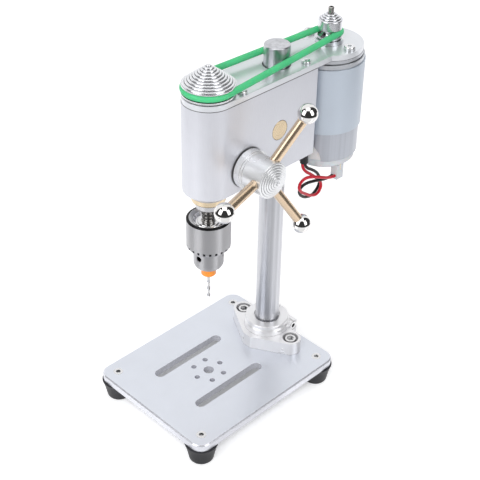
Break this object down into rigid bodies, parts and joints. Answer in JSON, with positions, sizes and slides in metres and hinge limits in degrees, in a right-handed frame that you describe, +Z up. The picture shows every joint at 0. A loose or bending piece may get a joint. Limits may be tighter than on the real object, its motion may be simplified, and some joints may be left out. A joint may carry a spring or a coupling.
{
  "type": "mini drill press",
  "caption": "Small bench drill press: a belt-driven quill head with three ball-ended levers on a round column over a slotted table.",
  "frame": {"origin": "centre of the bounding box on the surface the feet stand on", "axes": "+Z up along the column, -Y towards the chuck, +X towards the feed levers"},
  "size_m": [0.1028, 0.1808, 0.2483],
  "materials": {
    "anodised_plate": "satin anodised",
    "machined_aluminium": "fine turned",
    "head_aluminium": "satin",
    "turned_steel": "turned",
    "polished_steel": "polished",
    "dark_steel": "blackened",
    "zinc_steel": "bright zinc",
    "bearing_steel": "ground",
    "chuck_steel": "satin",
    "bit_steel": "bright",
    "brass": "turned",
    "chrome_ball": "mirror",
    "belt_green": "smooth polyurethane",
    "rubber_black": "matt",
    "motor_paint": "satin blue-grey",
    "motor_steel": "brushed",
    "plastic_white": "moulded",
    "plastic_beige": "moulded",
    "plastic_black": "moulded",
    "plastic_orange": "moulded",
    "insulation_red": "smooth",
    "insulation_black": "smooth",
    "ferrite": "sintered",
    "armature_iron": "lacquered laminations",
    "copper": "turned copper",
    "carbon": "pressed carbon"
  },
  "bodies": {
    "base": {"base_plate": "anodised_plate", "feet": "rubber_black", "foot_screws": "zinc_steel", "column_seat": "machined_aluminium", "seat_bolts": "zinc_steel"},
    "seat_screw": {"seat_clamp_screw": "dark_steel"},
    "column": {"column": "polished_steel"},
    "head": {"head_body": "head_aluminium", "quill_bush": "brass", "pinion_bush": "brass", "clamp_plug": "brass", "top_plate": "anodised_plate", "plate_screws": "zinc_steel", "motor_screws": "zinc_steel", "pulley_bearings": "bearing_steel", "drive_belt": "belt_green", "motor_boss_ring": "zinc_steel", "motor_collar": "machined_aluminium", "motor_sleeve": "motor_paint", "motor_can": "motor_steel", "motor_magnets": "ferrite", "motor_bearings": "bearing_steel", "motor_brushes": "carbon", "motor_brush_holder": "plastic_beige", "motor_end_cap": "plastic_white", "motor_terminals": "brass", "wire_connector": "plastic_white", "wire_sleeve": "plastic_black", "red_wire": "insulation_red", "black_wire": "insulation_black", "dc_jack": "plastic_black", "return_spring": "dark_steel", "spring_cover": "machined_aluminium"},
    "head_lock": {"clamp_bolt": "dark_steel"},
    "spindle_drive": {"spindle_pulley": "machined_aluminium"},
    "rotor": {"motor_shaft": "polished_steel", "motor_armature": "armature_iron", "motor_commutator": "copper", "motor_pulley": "machined_aluminium", "pulley_set_screw": "dark_steel"},
    "quill": {"quill": "turned_steel", "spindle_bearings": "bearing_steel"},
    "spindle": {"spindle": "dark_steel", "chuck_body": "chuck_steel", "drill_bit": "bit_steel", "bit_ring": "plastic_orange"},
    "chuck_sleeve": {"chuck_sleeve": "chuck_steel"},
    "jaw_1": {"chuck_jaw_1": "dark_steel"},
    "jaw_2": {"chuck_jaw_2": "dark_steel"},
    "jaw_3": {"chuck_jaw_3": "dark_steel"},
    "feed": {"feed_hub": "machined_aluminium", "feed_levers": "brass", "lever_balls": "chrome_ball", "pinion_shaft": "turned_steel"}
  },
  "joints": [
    {"name": "column_swing", "type": "hinge", "parent": "base", "child": "column", "pos_m": [0, 0.0205, 0.019], "axis": [0, 0, 1], "range_deg": [-90, 90]},
    {"name": "seat_screw_turn", "type": "hinge", "parent": "base", "child": "seat_screw", "pos_m": [0.014, 0.0325, 0.0273], "axis": [1, 0, 0], "range_deg": [0, 180]},
    {"name": "head_height", "type": "slide", "parent": "column", "child": "head", "axis": [0, 0, 1], "range_m": [-0.036, 0.03]},
    {"name": "head_lock_turn", "type": "hinge", "parent": "head", "child": "head_lock", "pos_m": [-0.01575, 0.0085, 0.1923], "axis": [-1, 0, 0], "range_deg": [0, 180]},
    {"name": "quill_feed", "type": "slide", "parent": "head", "child": "quill", "axis": [0, 0, -1], "range_m": [0, 0.025], "stiffness_N_per_m": 60, "springref_m": -0.07},
    {"name": "spindle_spin", "type": "hinge", "parent": "quill", "child": "spindle", "pos_m": [0, -0.0349, 0.1637], "axis": [0, 0, 1], "continuous": true},
    {"name": "pulley_spin", "type": "hinge", "parent": "head", "child": "spindle_drive", "pos_m": [0, -0.0349, 0.226], "axis": [0, 0, 1], "continuous": true},
    {"name": "motor_spin", "type": "hinge", "parent": "head", "child": "rotor", "pos_m": [0, 0.0672, 0.226], "axis": [0, 0, 1], "continuous": true},
    {"name": "feed_turn", "type": "hinge", "parent": "head", "child": "feed", "pos_m": [0, -0.0186, 0.1781], "axis": [1, 0, 0], "range_deg": [0, 143.3]},
    {"name": "chuck_sleeve_turn", "type": "hinge", "parent": "spindle", "child": "chuck_sleeve", "pos_m": [0, -0.0349, 0.1257], "axis": [0, 0, 1], "range_deg": [0, 2304]},
    {"name": "jaw_1_slide", "type": "slide", "parent": "spindle", "child": "jaw_1", "axis": [0.2227, -0.0945, 0.9703], "range_m": [0, 0.00801]},
    {"name": "jaw_2_slide", "type": "slide", "parent": "spindle", "child": "jaw_2", "axis": [-0.0295, 0.2401, 0.9703], "range_m": [0, 0.00801]},
    {"name": "jaw_3_slide", "type": "slide", "parent": "spindle", "child": "jaw_3", "axis": [-0.1932, -0.1456, 0.9703], "range_m": [0, 0.00801]}
  ],
  "couplings": [
    {"joint": "pulley_spin", "follows": "spindle_spin", "ratio": 1},
    {"joint": "motor_spin", "follows": "spindle_spin", "ratio": 2.1493},
    {"joint": "feed_turn", "follows": "quill_feed", "rad_per_m": 100},
    {"joint": "jaw_1_slide", "follows": "chuck_sleeve_turn", "m_per_rad": 0.00019894},
    {"joint": "jaw_2_slide", "follows": "chuck_sleeve_turn", "m_per_rad": 0.00019894},
    {"joint": "jaw_3_slide", "follows": "chuck_sleeve_turn", "m_per_rad": 0.00019894}
  ]
}
